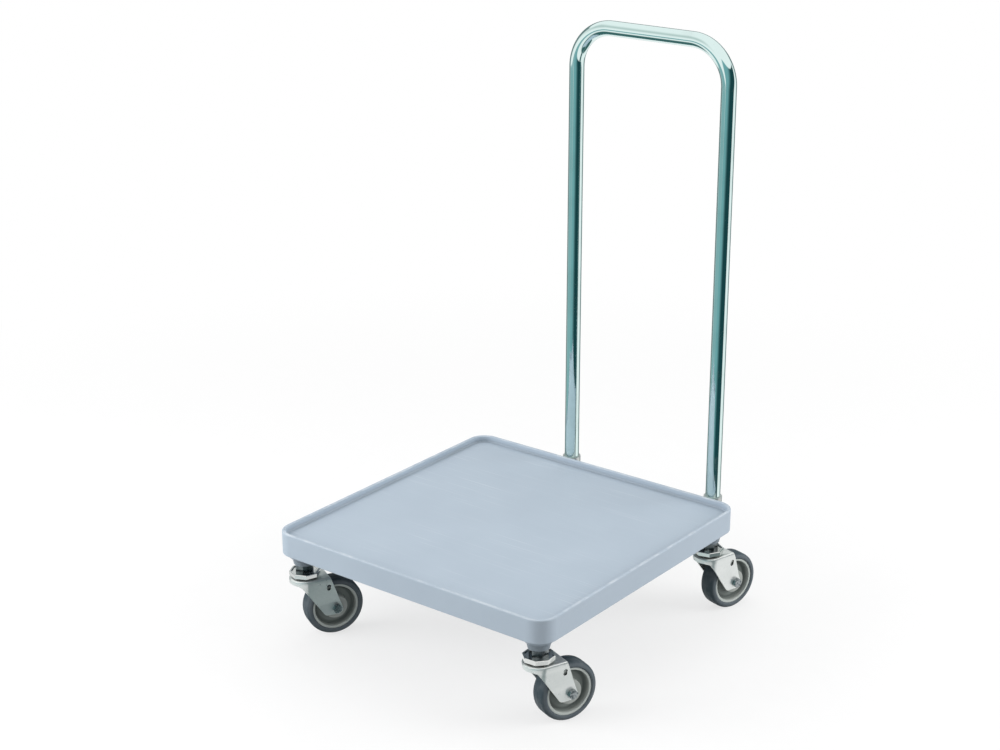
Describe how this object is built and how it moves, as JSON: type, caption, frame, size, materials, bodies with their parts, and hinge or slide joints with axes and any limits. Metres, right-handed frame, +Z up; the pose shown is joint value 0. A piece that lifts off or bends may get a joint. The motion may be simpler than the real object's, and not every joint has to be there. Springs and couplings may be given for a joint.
{
  "type": "dish rack dolly",
  "caption": "Square moulded dolly with a shallow rimmed deck for dish racks, a bent tube push handle behind it and swivel casters under its corners.",
  "frame": {"origin": "centre of the deck's top face, on which the racks stand", "axes": "+X along the front, +Y towards the push handle, +Z up"},
  "size_m": [0.5672, 0.6143, 0.9817],
  "materials": {
    "tray_plastic": "moulded, fine satin grain",
    "insert_brass": "turned",
    "plated_steel": "bright zinc plated",
    "handle_chrome": "polished chrome plated",
    "plug_plastic": "moulded",
    "bearing_steel": "ground and greased",
    "race_chrome": "bright plated",
    "fork_zinc": "pressed, bright zinc plated",
    "bush_nylon": "moulded",
    "hub_plastic": "moulded, satin",
    "tyre_rubber": "moulded grey rubber"
  },
  "bodies": {
    "tray_frame": {"tray": "tray_plastic", "stem_inserts": "insert_brass", "handle_socket_left": "plated_steel", "handle_socket_right": "plated_steel", "handle_socket_screws": "plated_steel", "handle_socket_washers": "plated_steel", "handle_tube": "handle_chrome", "handle_lock_screws": "plated_steel", "handle_end_plugs": "plug_plastic", "upper_swivel_balls": "bearing_steel", "lower_swivel_balls": "bearing_steel", "kingpin_nuts": "plated_steel", "front_left_stem": "plated_steel", "front_left_upper_race": "race_chrome", "front_left_lower_race": "plated_steel", "front_right_stem": "plated_steel", "front_right_upper_race": "race_chrome", "front_right_lower_race": "plated_steel", "rear_left_stem": "plated_steel", "rear_left_upper_race": "race_chrome", "rear_left_lower_race": "plated_steel", "rear_right_stem": "plated_steel", "rear_right_upper_race": "race_chrome", "rear_right_lower_race": "plated_steel"},
    "front_left_swivel": {"front_left_fork": "fork_zinc", "front_left_axle_bolt": "plated_steel", "front_left_axle_nut": "plated_steel", "front_left_axle_sleeve": "plated_steel"},
    "front_left_wheel": {"front_left_wheel_bush": "bush_nylon", "front_left_wheel_hub": "hub_plastic", "front_left_tyre": "tyre_rubber"},
    "front_right_swivel": {"front_right_fork": "fork_zinc", "front_right_axle_bolt": "plated_steel", "front_right_axle_nut": "plated_steel", "front_right_axle_sleeve": "plated_steel"},
    "front_right_wheel": {"front_right_wheel_bush": "bush_nylon", "front_right_wheel_hub": "hub_plastic", "front_right_tyre": "tyre_rubber"},
    "rear_left_swivel": {"rear_left_fork": "fork_zinc", "rear_left_axle_bolt": "plated_steel", "rear_left_axle_nut": "plated_steel", "rear_left_axle_sleeve": "plated_steel"},
    "rear_left_wheel": {"rear_left_wheel_bush": "bush_nylon", "rear_left_wheel_hub": "hub_plastic", "rear_left_tyre": "tyre_rubber"},
    "rear_right_swivel": {"rear_right_fork": "fork_zinc", "rear_right_axle_bolt": "plated_steel", "rear_right_axle_nut": "plated_steel", "rear_right_axle_sleeve": "plated_steel"},
    "rear_right_wheel": {"rear_right_wheel_bush": "bush_nylon", "rear_right_wheel_hub": "hub_plastic", "rear_right_tyre": "tyre_rubber"}
  },
  "joints": [
    {"name": "front_left_swivel_turn", "type": "hinge", "parent": "tray_frame", "child": "front_left_swivel", "pos_m": [-0.242, -0.242, -0.05], "axis": [0, 0, 1], "continuous": true},
    {"name": "front_left_wheel_roll", "type": "hinge", "parent": "front_left_swivel", "child": "front_left_wheel", "pos_m": [-0.21979, -0.20022, -0.134], "axis": [-0.8829, 0.4695, 0], "continuous": true},
    {"name": "front_right_swivel_turn", "type": "hinge", "parent": "tray_frame", "child": "front_right_swivel", "pos_m": [0.242, -0.242, -0.05], "axis": [0, 0, 1], "continuous": true},
    {"name": "front_right_wheel_roll", "type": "hinge", "parent": "front_right_swivel", "child": "front_right_wheel", "pos_m": [0.25973, -0.19813, -0.134], "axis": [-0.9272, 0.3746, 0], "continuous": true},
    {"name": "rear_left_swivel_turn", "type": "hinge", "parent": "tray_frame", "child": "rear_left_swivel", "pos_m": [-0.242, 0.242, -0.05], "axis": [0, 0, 1], "continuous": true},
    {"name": "rear_left_wheel_roll", "type": "hinge", "parent": "rear_left_swivel", "child": "rear_left_wheel", "pos_m": [-0.22582, 0.28646, -0.134], "axis": [-0.9397, 0.342, 0], "continuous": true},
    {"name": "rear_right_swivel_turn", "type": "hinge", "parent": "tray_frame", "child": "rear_right_swivel", "pos_m": [0.242, 0.242, -0.05], "axis": [0, 0, 1], "continuous": true},
    {"name": "rear_right_wheel_roll", "type": "hinge", "parent": "rear_right_swivel", "child": "rear_right_wheel", "pos_m": [0.25504, 0.28749, -0.134], "axis": [-0.9613, 0.2756, 0], "continuous": true}
  ]
}
